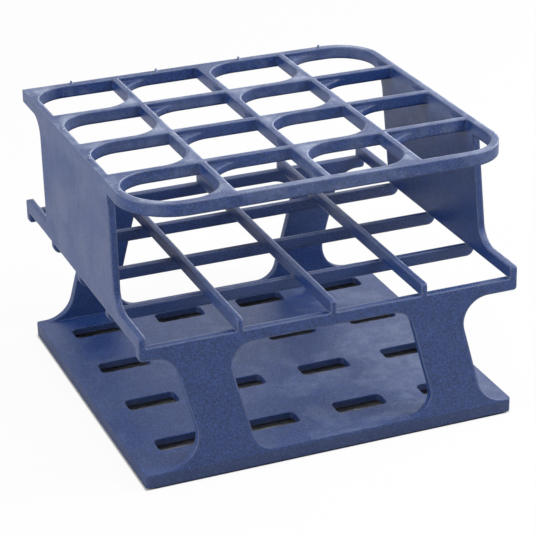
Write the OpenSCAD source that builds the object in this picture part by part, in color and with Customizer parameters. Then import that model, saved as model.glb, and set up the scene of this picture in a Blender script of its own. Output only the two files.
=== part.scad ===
// Half-size rack for sixteen 25 mm test tubes, injection moulded in one piece.
// Three tiers: a slotted base, a middle deck of crossed bars on two leaning leg frames,
// and a top grid carried by two leaning side panels.
// Origin: centre of the footprint on the bench; front is -Y, the tiers stack up +Z.

/* [Tubes] */
// Diameter of the tubes that the rack holds
tube_d = 25; // [20:0.5:32]
// Room beside a tube, left to right
tube_play_x = 2.2; // [0.6:0.1:4]
// Room beside a tube, front to back
tube_play_y = 0.2; // [0.2:0.1:4]
// Columns of tubes, left to right
columns = 4; // [2:1:8]
// Rows of tubes, front to back
rows = 4; // [2:1:8]

/* [Tiers] */
// Overall height
rack_h = 88.2; // [76:0.5:120]
// Underside of the middle deck above the bench
deck_z = 42.3; // [34:0.1:60]
// Depth of each layer of bars in the middle deck
bar_h = 3.8; // [2.5:0.1:6]
// Depth of the top grid
grid_h = 4; // [3:0.1:8]
// Radius under the ends of the cross bars
bar_end_r = 2.5; // [1:0.1:2.5]
// Radius on top of the ends of the lengthwise bars, and under the ends of the rails
rail_end_r = 1; // [0.5:0.1:1.2]

/* [Walls] */
// Thickness of the ribs between tubes
rib_t = 1.8; // [1.4:0.1:3]
// Thickness at the sides of the rim, the rails, the side panels and the skirt of the base
side_t = 2.2; // [1.6:0.1:3]
// Thickness of the leg frames, the rails above them and the skirt below them
frame_t = 2.4; // [1.6:0.1:3]
// Thickness of the base plate
plate_t = 2.2; // [1.2:0.1:3]
// How far the rim stands outside the first and last tube walls
rim_margin = 0.7; // [0:0.1:2]
// How far the leg frames and the base reach past the top rim, front and back
frame_step = 1.35; // [0:0.05:3]
// How far the rails of the deck reach past the top rim at each side
deck_step = 0.9; // [0:0.1:2]
// How far the base reaches past the top rim at each side
base_step = 0.4; // [0:0.1:2]

/* [Top grid] */
// Radius of the tube seats in two corners of each opening
seat_r = 10.8; // [6:0.1:12]
// How far the webs behind the seats lie below the rim in every second column
web_drop = 1.7; // [0:0.1:2.5]
// Outer radius of the rim at the two right corners
rim_r = 14.5; // [6:0.5:16]
// Outer radius of the rim at the front left corner; the rear left one is square
rim_front_r = 17; // [6:0.5:18]
// Diameter of the index pips on the rim
pip_d = 1; // [0.6:0.1:1.6]
// Diameter of an index pip at its tip
pip_tip_d = 0.6; // [0.3:0.1:0.6]
// Height of the index pips
pip_h = 0.9; // [0.4:0.1:1.5]
// How far the pips on the left rim lie behind the tube centres
pip_shift = 2; // [-4:0.5:4]

/* [Side panels] */
// Width of the left side panel
left_panel_w = 69; // [50:0.5:90]
// Width of the right side panel
right_panel_w = 66.5; // [50:0.5:90]
// Lean of the side panels, top towards the back
panel_lean = 7; // [0:0.5:12]
// How far the left panel stands behind the right one
panel_stagger = 1.8; // [0:0.2:6]
// Radius of the flare under the rim at the back of a panel
panel_flare_r = 7; // [2:0.5:12]
// Radius of the foot at the front of a panel, where it stands on its rail
panel_foot_r = 7; // [2:0.5:12]

/* [Leg frames] */
// Width of a leg
leg_w = 16; // [10:0.5:22]
// Lean of the legs: their tops lean left on the front frame and right on the back one
leg_lean = 15; // [0:0.5:20]
// How far the back legs stand to the right of their places opposite the front ones
leg_shift = 1; // [-2:0.1:2]
// Width of the window between the legs
window_w = 58.8; // [40:0.2:70]
// Height of the sill that the window leaves above the base
sill_h = 0.4; // [0.2:0.1:4]
// Radius in the corners of the window
window_r = 7; // [3:0.5:12]
// Radius between a leg and the rail above it, outside
leg_top_r = 8; // [3:0.5:12]
// Radius between a leg and the base, outside
leg_base_r = 10; // [3:0.5:12]

/* [Base] */
// Length of a drain slot
slot_l = 16.6; // [12:0.2:22]
// Width of a drain slot
slot_w = 7.2; // [4:0.1:12]
// Corner radius of a drain slot
slot_r = 1.7; // [0.5:0.1:2]
// Slots to the right of the tube centres
slot_shift_x = 0.9; // [-3:0.1:3]
// Slots behind the tube centres
slot_shift_y = 1; // [-3:0.1:3]
// Height of the skirt around the base, from its lower edge to the top of the plate
skirt_h = 4.2; // [3.2:0.1:6]
// Corner radius of the base
base_r = 1.3; // [0.5:0.1:4]
// Height of the skid under the front and back edges
skid_h = 0.7; // [0.4:0.1:1.5]
// Distance of the skid's ends from the corners
skid_inset = 2.6; // [1:0.1:6]
// How far the skid stands in from the edge above it
skid_recess = 0.5; // [0.2:0.1:1.5]

/* [Hidden] */
$fn = 64;
// Overlap of two shapes that would otherwise only touch
eps = 0.01;
// How far a cut runs past the surface that it leaves
clear = 1;
// Oversize of the kites and discs that round a corner
kite_scale = 1.1;
graze = 0.002;
pip_facets = 24;

base_h = skid_h + skirt_h;
pitch_x = tube_d + tube_play_x + rib_t;
pitch_y = tube_d + tube_play_y + rib_t;
rim_w = columns * pitch_x + rib_t + 2 * rim_margin;
rim_d = rows * pitch_y + rib_t + 2 * rim_margin;
deck_w = rim_w + 2 * deck_step;
base_w = rim_w + 2 * base_step;
frame_d = rim_d + 2 * frame_step;
// The lower tiers spread their bars and slots in step with their own width and depth
deck_spread = deck_w / rim_w;
base_spread = base_w / rim_w;
depth_spread = frame_d / rim_d;
deck_top = deck_z + 2 * bar_h;
grid_z = rack_h - grid_h;

// How far a leaning cut starts outside the edge, past any lean
cut_reach = deck_w / 4;

// Wall of opening i along an axis: rib faces inside, rim faces at the two ends
function low_wall(i, n, pitch, outer, wall) =
    i == 0 ? -outer / 2 + wall : (i - n / 2) * pitch + rib_t / 2;
function high_wall(i, n, pitch, outer, wall) = -low_wall(n - 1 - i, n, pitch, outer, wall);
function place(i, n, pitch) = (i - (n - 1) / 2) * pitch;

// Outline with a true arc at each corner; corners = [[point, radius], ...], convex
function unit(v) = v / norm(v);
function to_prev(c, i) = unit(c[(i + len(c) - 1) % len(c)][0] - c[i][0]);
function to_next(c, i) = unit(c[(i + 1) % len(c)][0] - c[i][0]);
function half_angle(c, i) = acos(to_prev(c, i) * to_next(c, i)) / 2;
function setback(c, i) = c[i][1] / tan(half_angle(c, i));
function arc_centre(c, i) =
    c[i][0] + unit(to_prev(c, i) + to_next(c, i)) * c[i][1] / sin(half_angle(c, i));

module soft_outline(corners) {
    difference() {
        polygon([for (corner = corners) corner[0]]);
        for (i = [0 : len(corners) - 1])
            if (corners[i][1] > 0) corner_waste(corners, i);
    }
}

// What a corner loses: the kite between its point and the centre of its arc, less the disc.
// The kite is drawn oversize and the disc a hair large, so that no two edges merely graze.
module corner_waste(c, i) {
    centre = arc_centre(c, i);
    kite = [c[i][0] + to_prev(c, i) * setback(c, i), c[i][0], c[i][0] + to_next(c, i) * setback(c, i)];
    difference() {
        polygon([centre, for (p = kite) centre + (p - centre) * kite_scale]);
        translate(centre) circle(r = c[i][1] + graze);
    }
}

function box_corners(lo, hi, radii) = [
    [lo, radii[0]],
    [[hi[0], lo[1]], radii[1]],
    [hi, radii[2]],
    [[lo[0], hi[1]], radii[3]]
];

// ---------- Base: slotted plate with a skirt around it, on two skids ----------
module slot() {
    half = [slot_l, slot_w] / 2;
    soft_outline(box_corners(-half, half, [slot_r, slot_r, slot_r, slot_r]));
}

module base() {
    size = [base_w, frame_d];
    difference() {
        translate([0, 0, skid_h]) linear_extrude(skirt_h) difference() {
            soft_outline(box_corners(-size / 2, size / 2, [base_r, base_r, base_r, base_r]));
            for (c = [0 : columns - 1], r = [0 : rows - 1])
                translate([
                    place(c, columns, pitch_x) * base_spread + slot_shift_x,
                    place(r, rows, pitch_y) * depth_spread + slot_shift_y
                ]) slot();
        }
        translate([0, 0, skid_h - clear]) linear_extrude(skirt_h - plate_t + clear)
            square(size - 2 * [side_t, frame_t], center = true);
    }
    for (turn = [0, 180]) rotate([0, 0, turn])
        translate([skid_inset - size[0] / 2, skid_recess - size[1] / 2, 0])
            cube([size[0] - 2 * skid_inset, frame_t - skid_recess, skid_h + eps]);
}

// ---------- Leg frame: leaning legs and the rail above them, seen from the front ----------
function lean_x(x, z) = x - (z - (deck_z + base_h) / 2) * tan(leg_lean);

// Opening between two leaning edges; radii in the order low left, low right, high right, high left
module leaning_opening(x0, x1, z0, z1, radii) {
    soft_outline([
        [[lean_x(x0, z0), z0], radii[0]],
        [[lean_x(x1, z0), z0], radii[1]],
        [[lean_x(x1, z1), z1], radii[2]],
        [[lean_x(x0, z1), z1], radii[3]]
    ]);
}

module leg_frame(shift) {
    leg_x = window_w / 2 + leg_w;
    past = deck_w / 2 + cut_reach;
    translate([0, frame_t - frame_d / 2, 0]) rotate([90, 0, 0]) linear_extrude(frame_t) difference() {
        translate([-deck_w / 2, base_h]) square([deck_w, deck_z + bar_h - base_h]);
        leaning_opening(shift - window_w / 2, shift + window_w / 2, base_h + sill_h, deck_z,
            [window_r, window_r, window_r, window_r]);
        leaning_opening(shift - past, shift - leg_x, base_h, deck_z, [0, leg_base_r, leg_top_r, 0]);
        leaning_opening(shift + leg_x, shift + past, base_h, deck_z, [leg_base_r, 0, 0, leg_top_r]);
        for (side = [-1, 1]) translate([side * deck_w / 2, deck_z]) rail_corner(side);
    }
}

module rail_corner(side) {
    difference() {
        translate([-rail_end_r, -rail_end_r]) square(2 * rail_end_r);
        translate([-side * rail_end_r, rail_end_r]) circle(r = rail_end_r + graze);
    }
}

// ---------- Middle deck: cross bars below, lengthwise bars on top of them ----------
module cross_bar() {
    rotate([90, 0, 0]) translate([0, 0, -rib_t / 2]) linear_extrude(rib_t)
        soft_outline(box_corners([-deck_w / 2, deck_z], [deck_w / 2, deck_z + bar_h],
            [bar_end_r, bar_end_r, 0, 0]));
}

module long_bar(thick) {
    translate([-thick / 2, 0, 0]) rotate([90, 0, 90]) linear_extrude(thick)
        soft_outline(box_corners([-frame_d / 2, deck_z + bar_h], [frame_d / 2, deck_top],
            [0, 0, rail_end_r, rail_end_r]));
}

module deck() {
    for (r = [1 : rows - 1]) translate([0, (r - rows / 2) * pitch_y * depth_spread, 0]) cross_bar();
    for (c = [1 : columns - 1])
        translate([(c - columns / 2) * pitch_x * deck_spread, 0, 0]) long_bar(rib_t);
    for (side = [-1, 1]) translate([side * (deck_w - side_t) / 2, 0, 0]) long_bar(side_t);
}

// ---------- Side panel: leans, with a foot in front and a flare behind ----------
// It also draws in from the rail of the deck to the narrower rim above.
module side_panel(side) {
    intersection() {
        rotate([90, 0, 0]) linear_extrude(frame_d, center = true) polygon([
            [side * deck_w / 2, deck_top],
            [side * rim_w / 2, grid_z],
            [side * (rim_w / 2 - side_t), grid_z],
            [side * (deck_w / 2 - side_t), deck_top]
        ]);
        translate([side * deck_w / 2, 0, 0]) rotate([90, 0, 90])
            linear_extrude(2 * (side_t + deck_step + clear), center = true) panel_outline(side);
    }
}

module panel_outline(side) {
    mid = (deck_top + grid_z) / 2;
    rise = grid_z - mid;
    run = rise * tan(panel_lean);
    wide = side < 0 ? left_panel_w : right_panel_w;
    front = -side * panel_stagger / 2 - wide / 2;
    back = front + wide;
    foot = panel_foot_r + panel_flare_r;
    difference() {
        translate([front - foot, deck_top]) square([wide + 2 * foot, grid_z - deck_top]);
        soft_outline([
            [[front - cut_reach, deck_top], 0],
            [[front - run, deck_top], panel_foot_r],
            [[front + run, grid_z], 0],
            [[front - cut_reach, grid_z], 0]
        ]);
        soft_outline([
            [[back - run, deck_top], 0],
            [[back + cut_reach, deck_top], 0],
            [[back + cut_reach, grid_z], 0],
            [[back + run, grid_z], panel_flare_r]
        ]);
    }
}

// ---------- Top grid: rim, ribs, seats with webs, index pips ----------
function opening(c, r, radii) = box_corners(
    [low_wall(c, columns, pitch_x, rim_w, side_t), low_wall(r, rows, pitch_y, rim_d, frame_t)],
    [high_wall(c, columns, pitch_x, rim_w, side_t), high_wall(r, rows, pitch_y, rim_d, frame_t)], radii);

// Radii of an opening: seats at rear left and front right, rim corners in the corner openings
function opening_radii(c, r, seat) = [
    c == 0 && r == 0 ? rim_front_r - frame_t : 0,
    c == columns - 1 && r == 0 ? rim_r - frame_t : seat,
    c == columns - 1 && r == rows - 1 ? rim_r - frame_t : 0,
    seat
];

module grid() {
    half = [rim_w, rim_d] / 2;
    difference() {
        translate([0, 0, grid_z]) linear_extrude(grid_h) difference() {
            soft_outline(box_corners(-half, half, [rim_front_r, rim_r, rim_r, 0]));
            for (c = [0 : columns - 1], r = [0 : rows - 1])
                soft_outline(opening(c, r, opening_radii(c, r, seat_r)));
        }
        for (c = [1 : 2 : columns - 1], r = [0 : rows - 1])
            translate([0, 0, rack_h - web_drop]) linear_extrude(web_drop + clear)
                soft_outline(opening(c, r, opening_radii(c, r, 0)));
    }
    for (c = [0 : columns - 1]) pip([place(c, columns, pitch_x), half[1] - pip_d, rack_h]);
    for (r = [0 : rows - 1]) pip([pip_d - half[0], place(r, rows, pitch_y) + pip_shift, rack_h]);
}

module pip(at) {
    translate(at - [0, 0, eps]) cylinder(d1 = pip_d, d2 = pip_tip_d, h = pip_h + eps, $fn = pip_facets);
}

module rack() {
    color("#3D4F8A") {
        base();
        leg_frame(0);
        rotate([0, 0, 180]) leg_frame(-leg_shift);
        deck();
        for (side = [-1, 1]) side_panel(side);
        grid();
    }
}

rack();
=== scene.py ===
import math

import bmesh
import bpy
import numpy as np
from mathutils import Matrix, Vector


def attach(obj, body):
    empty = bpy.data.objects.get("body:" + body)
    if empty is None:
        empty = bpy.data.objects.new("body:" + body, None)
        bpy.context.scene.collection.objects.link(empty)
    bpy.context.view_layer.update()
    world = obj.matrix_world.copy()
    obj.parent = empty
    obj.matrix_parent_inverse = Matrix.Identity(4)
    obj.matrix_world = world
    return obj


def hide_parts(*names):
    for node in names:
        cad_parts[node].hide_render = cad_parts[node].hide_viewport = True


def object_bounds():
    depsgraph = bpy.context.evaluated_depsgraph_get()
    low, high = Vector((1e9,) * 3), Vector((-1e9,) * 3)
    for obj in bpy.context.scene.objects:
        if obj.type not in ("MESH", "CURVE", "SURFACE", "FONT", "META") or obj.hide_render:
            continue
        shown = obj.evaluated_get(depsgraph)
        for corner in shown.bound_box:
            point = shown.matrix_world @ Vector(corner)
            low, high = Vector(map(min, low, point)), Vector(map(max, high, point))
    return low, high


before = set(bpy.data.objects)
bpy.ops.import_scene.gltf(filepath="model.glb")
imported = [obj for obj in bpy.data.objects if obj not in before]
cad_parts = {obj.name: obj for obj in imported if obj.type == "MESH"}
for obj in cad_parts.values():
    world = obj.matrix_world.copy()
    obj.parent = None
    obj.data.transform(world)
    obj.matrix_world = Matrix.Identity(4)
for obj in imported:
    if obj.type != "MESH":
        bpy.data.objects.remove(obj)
cadBox = [[float(v) for v in corner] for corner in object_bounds()]
print("frame loaded:", sorted(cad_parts))


# sRGB hex to the linear numbers the shaders want
def linearColour(hexText):
    srgb = np.array([int(hexText[i:i + 2], 16) for i in (1, 3, 5)]) / 255
    linear = np.where(srgb <= 0.04045, srgb / 12.92, ((srgb + 0.055) / 1.055) ** 2.4)
    return (*linear.tolist(), 1.0)


# one node with its settings, fixed inputs and links; a link is "Input": (node, "Output")
def addNode(tree, kind, settings=None, inputs=None, links=None):
    node = tree.nodes.new(kind)
    for name, value in (settings or {}).items():
        setattr(node, name, value)
    for name, value in (inputs or {}).items():
        node.inputs[name].default_value = value
    for name, (source, output) in (links or {}).items():
        tree.links.new(source.outputs[output], node.inputs[name])
    return node


# a material whose node tree is still empty
def emptyMaterial(name):
    material = bpy.data.materials.new(name)
    material.use_nodes = True
    material.node_tree.nodes.clear()
    return material


# the camera stands in front of the left leg, above the rim
view = {
    "place": (-0.220534, -0.561140, 0.309556),    # metres
    "azimuth": -21.637,     # degrees, as are the next two
    "elevation": -24.316,
    "roll": -1.104,
    "lens": 139.638,        # millimetres, as is the sensor
    "sensor": 36,
    "clip": (0.05, 20),     # nearest and farthest it sees, in metres
}


def addCamera(settings):
    data = bpy.data.cameras.new("viewCamera")
    data.sensor_width = settings["sensor"]
    data.lens = settings["lens"]
    data.clip_start, data.clip_end = settings["clip"]
    camera = bpy.data.objects.new("viewCamera", data)
    az, el, roll = (math.radians(settings[k]) for k in ("azimuth", "elevation", "roll"))
    forward = Vector((-math.sin(az) * math.cos(el), math.cos(az) * math.cos(el), math.sin(el)))
    right = Vector((math.cos(az), math.sin(az), 0))
    up = right.cross(forward)
    rightRolled = math.cos(roll) * right + math.sin(roll) * up
    upRolled = -math.sin(roll) * right + math.cos(roll) * up
    turn = Matrix((rightRolled, upRolled, -forward)).transposed().to_4x4()
    camera.matrix_world = Matrix.Translation(settings["place"]) @ turn
    bpy.context.scene.collection.objects.link(camera)
    bpy.context.scene.camera = camera


addCamera(view)
print("camera placed")

plastic = {
    "body": "#143876",          # pigment of the moulding
    "deep": "#092049",          # richer pigment between the flecks, and painted shade on the low walls of the base
    "haze": "#7F89A2",          # pale colour of the painted sheen on faces that look up, broken into random clouds, and of the pale flecks
    "edgeHighlight": "#B0BAD2",           # painted highlight along the upper edges, lightest on edges that face the back-right lamp
    "ior": 1.49,                # polypropylene
    # patterns: the size in metres, then how the noise is made
    "patterns": {
        # flow patches, and smaller patches inside them
        "cloud": (0.021, {"Detail": 4.0, "Roughness": 0.6, "Distortion": 0.8}),
        "mottle": (0.0042, {"Detail": 3.0, "Roughness": 0.6}),
        # light and dark flecks, and the grain of the mould wall; the real ones are about 0.1 mm
        # or less, too fine to show, so both are drawn as coarse as they need to be to show
        "speckle": (0.00042, {"Detail": 2.0, "Roughness": 0.6}),
        "grain": (0.00025, {"Detail": 1.0, "Roughness": 0.5}),
    },
    "wallPaintedSheen": 0.03,           # painted sheen on the walls and the deck
    "rimPaintedSheen": 0.20,            # more painted sheen on the walls of the top grid, so they show lighter high up
    "topPaintedSheen": 0.98,            # and most painted sheen on the top of the grid
    "baseReach": (0.008, 0.003),      # heights between which the painted sheen of the base comes in
    "wallFlecks": 0.10,         # strength of the pale flecks on walls and on the base
    "topFlecks": 0.62,          # and on the top of the grid, where most of their strength is painted glints
    "ribPitch": (0.029, 0.027),       # metres from rib to rib, across and front to back
    "highlightSide": (0.42, 0.42, 0.80),    # right, back and up: edges that face this way get the most painted highlight
    # radius that every moulded edge shows, as a soft step: two heights and the radius at each;
    # the slotted base has the sharper edges
    "edgeRadius": (0.0052, 0.0070, 0.0005, 0.0012),
    "edgeSamples": 10,          # more of them make the soft edges less grainy
    "fleckRelief": 0.5,         # how much the flecks stand out beside the grain
    "bumpStrength": 0.6,
    "bumpDepth": 0.00013,       # metres
    # soft steps: what is measured, where the step starts and ends, and what it gives there
    "steps": {
        "up": ("slope", 0.7, 0.95, 0.0, 1.0),                # faces that look up
        "basePaintedSheen": ("across", -0.055, 0.030, 0.105, 0.42),  # painted sheen on the base top, growing towards its right side
        "paintedBaseShade": ("height", 0.0040, 0.0048, 0.3, 1.0),   # painted shade: the low walls of the base take more of the deep pigment
        "aboveBase": ("height", 0.006, 0.012, 0.0, 1.0),
        "belowGrid": ("height", 0.082, 0.080, 0.0, 0.7),     # the deck gets less painted edge highlight than the rim
        "inGrid": ("height", 0.080, 0.084, 0.0, 1.0),
        "onTop": ("height", 0.0858, 0.0876, 0.0, 1.0),       # weaker on the lowered webs
        "onRim": ("height", 0.0873, 0.0877, 0.0, 1.0),
        "offRib": ("ribGap", 0.0006, 0.0016, 0.55, 1.0),     # rib tops get less painted sheen than webs
        "cloudMask": ("cloud", 0.42, 0.60, 0.0, 1.0),
        "mottleMask": ("mottle", 0.36, 0.64, 0.5, 1.0),
        "highlightBreakup": ("mottle", 0.3, 0.6, 0.5, 1.0),          # the painted edge highlight is broken up unevenly
        "fleckDepth": ("speckle", 0.32, 0.68, 0.0, 1.0),
        "fleckMask": ("speckle", 0.48, 0.72, 0.0, 1.0),
        "nicksAndGlints": ("speckle", 0.65, 0.71, 0.0, 0.40),         # small pale specks on faces that look up: partly the plastic's own, partly painted glints
        "flatness": ("turn", 0.96, 0.998, 0.3, 1.0),         # there is less painted sheen beside an edge
        "edge": ("turn", 0.975, 0.84, 0.0, 1.0),
        "edgeFacingLight": ("lean", 0.45, 0.9, 0.25, 1.0),          # the painted edge highlight is strongest on edges that face the side given above
        "satin": ("cloud", 0.3, 0.7, 0.38, 0.52),            # roughness, duller in the clouds
    },
}
rangeInputs = ("From Min", "From Max", "To Min", "To Max")    # what a step's numbers set


# moulded polypropylene: leathery on its walls, with a broad soft sheen; faces that look up carry a
# cloudy painted sheen, its upper edges painted highlights and the low base walls painted shade
def addPlastic(settings):
    material = emptyMaterial("mouldedPolypropylene")
    tree = material.node_tree
    place = addNode(tree, "ShaderNodeTexCoord")
    surface = addNode(tree, "ShaderNodeNewGeometry")
    facing = addNode(tree, "ShaderNodeSeparateXYZ", links={"Vector": (surface, "Normal")})
    where = addNode(tree, "ShaderNodeSeparateXYZ", links={"Vector": (place, "Object")})

    # the distance to the nearest rib line, each way
    toRib = [addNode(tree, "ShaderNodeMath", {"operation": "PINGPONG"}, {1: pitch / 2},
                     {0: (where, axis)})
             for axis, pitch in zip("XY", settings["ribPitch"])]
    nearest = addNode(tree, "ShaderNodeMath", {"operation": "MINIMUM"}, None,
                      {0: (toRib[0], "Value"), 1: (toRib[1], "Value")})

    # how far the rounded normal of the moulding turns away from the flat one, and the way it leans
    radius = addNode(tree, "ShaderNodeMapRange", {"interpolation_type": "SMOOTHSTEP"},
                     dict(zip(rangeInputs, settings["edgeRadius"])), {"Value": (where, "Z")})
    soft = addNode(tree, "ShaderNodeBevel", {"samples": settings["edgeSamples"]}, None,
                   {"Radius": (radius, "Result")})
    turn = addNode(tree, "ShaderNodeVectorMath", {"operation": "DOT_PRODUCT"}, None,
                   {0: (soft, "Normal"), 1: (surface, "Normal")})
    lean = addNode(tree, "ShaderNodeVectorMath", {"operation": "DOT_PRODUCT"},
                   {1: settings["highlightSide"]}, {0: (soft, "Normal")})

    results = {
        "slope": (facing, "Z"),
        "across": (where, "X"),
        "height": (where, "Z"),
        "ribGap": (nearest, "Value"),
        "turn": (turn, "Value"),
        "lean": (lean, "Value"),
    }
    for name, (size, inputs) in settings["patterns"].items():
        noise = addNode(tree, "ShaderNodeTexNoise", None, {"Scale": 1 / size, **inputs},
                        {"Vector": (place, "Object")})
        results[name] = (noise, "Fac")
    for name, (measure, *reach) in settings["steps"].items():
        step = addNode(tree, "ShaderNodeMapRange", {"interpolation_type": "SMOOTHSTEP"},
                       dict(zip(rangeInputs, reach)), {"Value": results[measure]})
        results[name] = (step, "Result")

    # how much painted sheen there can be by height and slope, and how much of it the ribs on top
    # have
    baseTop, baseLow = settings["baseReach"]
    low = addNode(tree, "ShaderNodeMapRange", None,
                  {"From Min": baseTop, "From Max": baseLow, "To Min": settings["wallPaintedSheen"]},
                  {"Value": results["height"], "To Max": results["basePaintedSheen"]})
    onFlat = addNode(tree, "ShaderNodeMapRange", None, {"To Max": settings["topPaintedSheen"]},
                     {"Value": results["onTop"], "To Min": (low, "Result")})
    onWall = addNode(tree, "ShaderNodeMapRange", None,
                     {"To Min": settings["wallPaintedSheen"], "To Max": settings["rimPaintedSheen"]},
                     {"Value": results["inGrid"]})
    amount = addNode(tree, "ShaderNodeMapRange", None, None,
                     {"Value": results["up"], "To Min": (onWall, "Result"),
                      "To Max": (onFlat, "Result")})
    webShare = addNode(tree, "ShaderNodeMapRange", None, {"To Min": 1.0},
                       {"Value": results["onTop"], "To Max": results["offRib"]})
    results["amount"] = (amount, "Result")
    results["webShare"] = (webShare, "Result")

    # what the masks make together, each from two earlier results
    for name, operation, first, second in (
            ("patches", "MULTIPLY", "cloudMask", "mottleMask"),
            ("flatPatches", "MULTIPLY", "patches", "flatness"),
            ("webPatches", "MULTIPLY", "flatPatches", "webShare"),
            # painted sheen: cloudy patches, scaled by how much a face looks up, how high it sits
            # and how far right it lies
            ("cloudyPaintedSheen", "MULTIPLY", "webPatches", "amount"),
            # the flecks' depth, with painted shade low on the base
            ("depth", "MULTIPLY", "fleckDepth", "paintedBaseShade"),
            ("flatTop", "MULTIPLY", "up", "onTop"),
            ("webFlecks", "MULTIPLY", "fleckMask", "webShare"),
            # pale specks on faces that look up, partly painted glints
            ("flatNicksAndGlints", "MULTIPLY", "nicksAndGlints", "up"),
            # painted edge highlight: rounded edges facing the back-right lamp, on the rim and the
            # deck, broken up unevenly
            ("litEdge", "MULTIPLY", "edge", "edgeFacingLight"),
            ("onDeck", "MULTIPLY", "aboveBase", "belowGrid"),
            ("tiers", "MAXIMUM", "onRim", "onDeck"),
            ("tierEdge", "MULTIPLY", "litEdge", "tiers"),
            ("paintedEdgeHighlight", "MULTIPLY", "tierEdge", "highlightBreakup")):
        both = addNode(tree, "ShaderNodeMath", {"operation": operation}, None,
                       {0: results[first], 1: results[second]})
        results[name] = (both, "Value")

    # pale flecks and specks, partly painted glints on the tops, added to the painted sheen
    fleckAmount = addNode(tree, "ShaderNodeMapRange", None,
                          {"To Min": settings["wallFlecks"], "To Max": settings["topFlecks"]},
                          {"Value": results["flatTop"]})
    paleFlecks = addNode(tree, "ShaderNodeMath", {"operation": "MULTIPLY"}, None,
                         {0: results["webFlecks"], 1: (fleckAmount, "Result")})
    allFlecks = addNode(tree, "ShaderNodeMath", {"operation": "MAXIMUM"}, None,
                        {0: (paleFlecks, "Value"), 1: results["flatNicksAndGlints"]})
    pale = addNode(tree, "ShaderNodeMath", {"operation": "ADD", "use_clamp": True}, None,
                   {0: results["cloudyPaintedSheen"], 1: (allFlecks, "Value")})

    # pigment, the painted sheen over it, and the painted edge highlights over both
    pigment = addNode(tree, "ShaderNodeMix", {"data_type": "RGBA"},
                      {"A": linearColour(settings["deep"]), "B": linearColour(settings["body"])},
                      {"Factor": results["depth"]})
    hazy = addNode(tree, "ShaderNodeMix", {"data_type": "RGBA"},
                   {"B": linearColour(settings["haze"])},
                   {"Factor": (pale, "Value"), "A": (pigment, "Result")})
    colour = addNode(tree, "ShaderNodeMix", {"data_type": "RGBA"},
                     {"B": linearColour(settings["edgeHighlight"])},
                     {"Factor": results["paintedEdgeHighlight"], "A": (hazy, "Result")})

    # flecks and grain in slight relief
    relief = addNode(tree, "ShaderNodeMath", {"operation": "MULTIPLY_ADD"},
                     {1: settings["fleckRelief"]},
                     {0: results["speckle"], 2: results["grain"]})
    bump = addNode(tree, "ShaderNodeBump", None,
                   {"Strength": settings["bumpStrength"], "Distance": settings["bumpDepth"]},
                   {"Height": (relief, "Value"), "Normal": (soft, "Normal")})
    shader = addNode(tree, "ShaderNodeBsdfPrincipled", None, {"IOR": settings["ior"]},
                     {"Base Color": (colour, "Result"), "Roughness": results["satin"],
                      "Normal": (bump, "Normal")})
    addNode(tree, "ShaderNodeOutputMaterial", links={"Surface": (shader, "BSDF")})
    return material


plasticMaterial = addPlastic(plastic)
print("plastic mixed")

rack = {
    "node": "rack",
    "mergeGap": 2e-6,       # corners closer than this, in metres, become one
    "flatBelow": 0.2,       # faces that meet at less than this many degrees become one
    "smoothBelow": 30,      # and at less than this many they shade as one curve
}


# the CAD mesh welded and cleaned to flat faces, with its arcs shaded smooth
def addRack(settings, material):
    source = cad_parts[settings["node"]]
    mesh = source.data.copy()
    mesh.name = "rackMoulding"
    work = bmesh.new()
    work.from_mesh(mesh)
    bmesh.ops.remove_doubles(work, verts=work.verts, dist=settings["mergeGap"])
    bmesh.ops.dissolve_limit(work, angle_limit=math.radians(settings["flatBelow"]),
                             verts=work.verts, edges=work.edges)
    work.to_mesh(mesh)
    work.free()
    mesh.materials.clear()
    mesh.materials.append(material)
    mesh.shade_smooth()
    mesh.set_sharp_from_angle(angle=math.radians(settings["smoothBelow"]))
    piece = bpy.data.objects.new("rackMoulding", mesh)
    bpy.context.scene.collection.objects.link(piece)
    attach(piece, "root")
    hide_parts(settings["node"])
    return piece


rackPiece = addRack(rack, plasticMaterial)
print("rack moulded:", len(rackPiece.data.polygons), "faces")

floor = {
    "half": 3.0,            # metres from the middle to each side
    "cells": 8,             # squares along each side
    "sheet": "#D0D0D0",     # how light the paper is in shadow
    "shadowShare": 0.07,    # how much of the shadow the eye sees outside the footprint
    "inside": 0.0006,       # the mask is full this far inside the footprint
    "sheenFade": 0.05,      # in reflections the shadow fades out over this distance
}


# a soft box: one inside the footprint, zero past the fade, as the product of a step each way
def footprintMask(tree, inside, fade):
    place = addNode(tree, "ShaderNodeTexCoord")
    where = addNode(tree, "ShaderNodeSeparateXYZ", links={"Vector": (place, "Object")})
    steps = []
    for axis, reach in zip("XY", cadBox[1]):
        away = addNode(tree, "ShaderNodeMath", {"operation": "ABSOLUTE"}, None, {0: (where, axis)})
        steps.append(addNode(tree, "ShaderNodeMapRange", {"interpolation_type": "SMOOTHSTEP"},
                             {"From Min": reach + fade, "From Max": reach - inside},
                             {"Value": (away, "Value")}))
    return addNode(tree, "ShaderNodeMath", {"operation": "MULTIPLY"}, None,
                   {0: (steps[0], "Result"), 1: (steps[1], "Result")})


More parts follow.
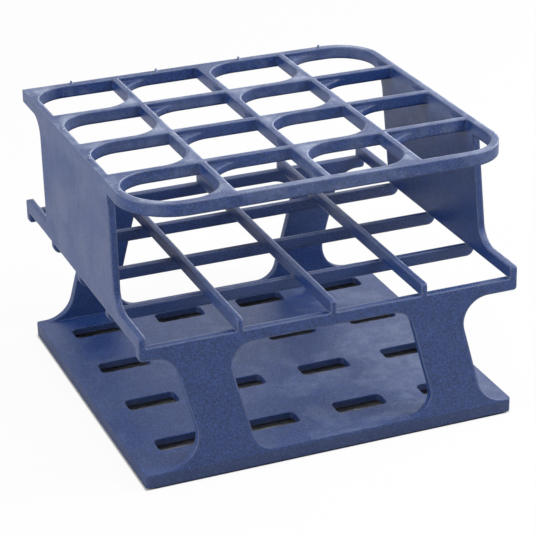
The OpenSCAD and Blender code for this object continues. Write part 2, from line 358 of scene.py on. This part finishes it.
# matt white paper: it has no sheen, and away from the rack it is plain white
def addPaper(settings):
    material = emptyMaterial("whitePaper")
    tree = material.node_tree
    paper = addNode(tree, "ShaderNodeBsdfDiffuse", None,
                    {"Color": linearColour(settings["sheet"])})
    white = addNode(tree, "ShaderNodeEmission", None, {"Strength": 1.0})
    path = addNode(tree, "ShaderNodeLightPath")
    # how much of it is plain white, a strength of 1, to each kind of ray: none in the footprint
    clean = []
    for ray, fade, most in (("Is Camera Ray", 0.0, 1 - settings["shadowShare"]),
                            ("Is Glossy Ray", settings["sheenFade"], 1.0)):
        mask = footprintMask(tree, settings["inside"], fade)
        outside = addNode(tree, "ShaderNodeMapRange", None, {"To Min": most, "To Max": 0.0},
                          {"Value": (mask, "Value")})
        clean.append(addNode(tree, "ShaderNodeMath", {"operation": "MULTIPLY"}, None,
                             {0: (path, ray), 1: (outside, "Result")}))
    share = addNode(tree, "ShaderNodeMath", {"operation": "MAXIMUM"}, None,
                    {0: (clean[0], "Value"), 1: (clean[1], "Value")})
    blend = addNode(tree, "ShaderNodeMixShader", None, None,
                    {"Fac": (share, "Value"), 1: (paper, "BSDF"), 2: (white, "Emission")})
    addNode(tree, "ShaderNodeOutputMaterial", links={"Surface": (blend, "Shader")})
    return material


# a flat grid: x and y run evenly from -half to half, z is zero everywhere
def addFloor(settings):
    n = settings["cells"] + 1
    line = np.linspace(-settings["half"], settings["half"], n)
    x, y = np.meshgrid(line, line)
    points = np.stack([x.ravel(), y.ravel(), np.zeros(x.size)], axis=1)
    corner = (np.arange(n - 1)[:, None] * n + np.arange(n - 1)[None, :]).ravel()
    faces = np.stack([corner, corner + 1, corner + n + 1, corner + n], axis=1)
    mesh = bpy.data.meshes.new("floorSheet")
    mesh.from_pydata(points.tolist(), [], faces.tolist())
    mesh.materials.append(addPaper(settings))
    sheet = bpy.data.objects.new("floorSheet", mesh)
    bpy.context.scene.collection.objects.link(sheet)


addFloor(floor)
print("floor laid")

# round soft lamps, in metres and watts
lamps = {
    "target": (0, 0, 0.04),    # they all point at the middle of the rack
    "discs": {
        "keyFront": {"place": (0.46, -0.27, 0.46), "size": 0.25, "power": 2.9},
        "keyAbove": {"place": (0.04, -0.12, 0.62), "size": 0.35, "power": 1.25},
        "backRight": {"place": (0.64, 0.76, 0.84), "size": 0.6, "power": 2.6},
        "fillRight": {"place": (0.90, 0.10, 0.35), "size": 0.5, "power": 5.0},
        "fillLeft": {"place": (-1.10, -0.30, 0.50), "size": 0.8, "power": 11.5},
    },
}


def addLamp(name, settings, target):
    data = bpy.data.lights.new(name, "AREA")
    data.shape = "DISK"
    data.size = settings["size"]
    data.energy = settings["power"]
    lamp = bpy.data.objects.new(name, data)
    lamp.location = settings["place"]
    aim = Vector(target) - Vector(settings["place"])
    lamp.rotation_euler = aim.to_track_quat("-Z", "Y").to_euler()
    bpy.context.scene.collection.objects.link(lamp)


for lampName, lampSettings in lamps["discs"].items():
    addLamp(lampName, lampSettings, lamps["target"])
print("lamps hung:", len(lamps["discs"]))

surround = {
    "light": 0.35,    # strength as light on the rack
    "seen": 0.94,     # strength to the eye and in reflections
}


# a white room all round, brighter to look at than as light
def addSurround(settings):
    world = bpy.data.worlds.new("studioWorld")
    bpy.context.scene.world = world
    world.use_nodes = True
    tree = world.node_tree
    tree.nodes.clear()
    path = addNode(tree, "ShaderNodeLightPath")
    direct = addNode(tree, "ShaderNodeMath", {"operation": "MAXIMUM"}, None,
                     {0: (path, "Is Camera Ray"), 1: (path, "Is Transmission Ray")})
    seen = addNode(tree, "ShaderNodeMath", {"operation": "MAXIMUM"}, None,
                   {0: (direct, "Value"), 1: (path, "Is Glossy Ray")})
    strength = addNode(tree, "ShaderNodeMapRange", None,
                       {"To Min": settings["light"], "To Max": settings["seen"]},
                       {"Value": (seen, "Value")})
    light = addNode(tree, "ShaderNodeBackground", None, {"Color": (1, 1, 1, 1)},
                    {"Strength": (strength, "Result")})
    addNode(tree, "ShaderNodeOutputWorld", links={"Surface": (light, "Background")})


addSurround(surround)
print("surround added")

bpy.context.scene.view_settings.view_transform = "Standard"
bpy.context.view_layer.update()
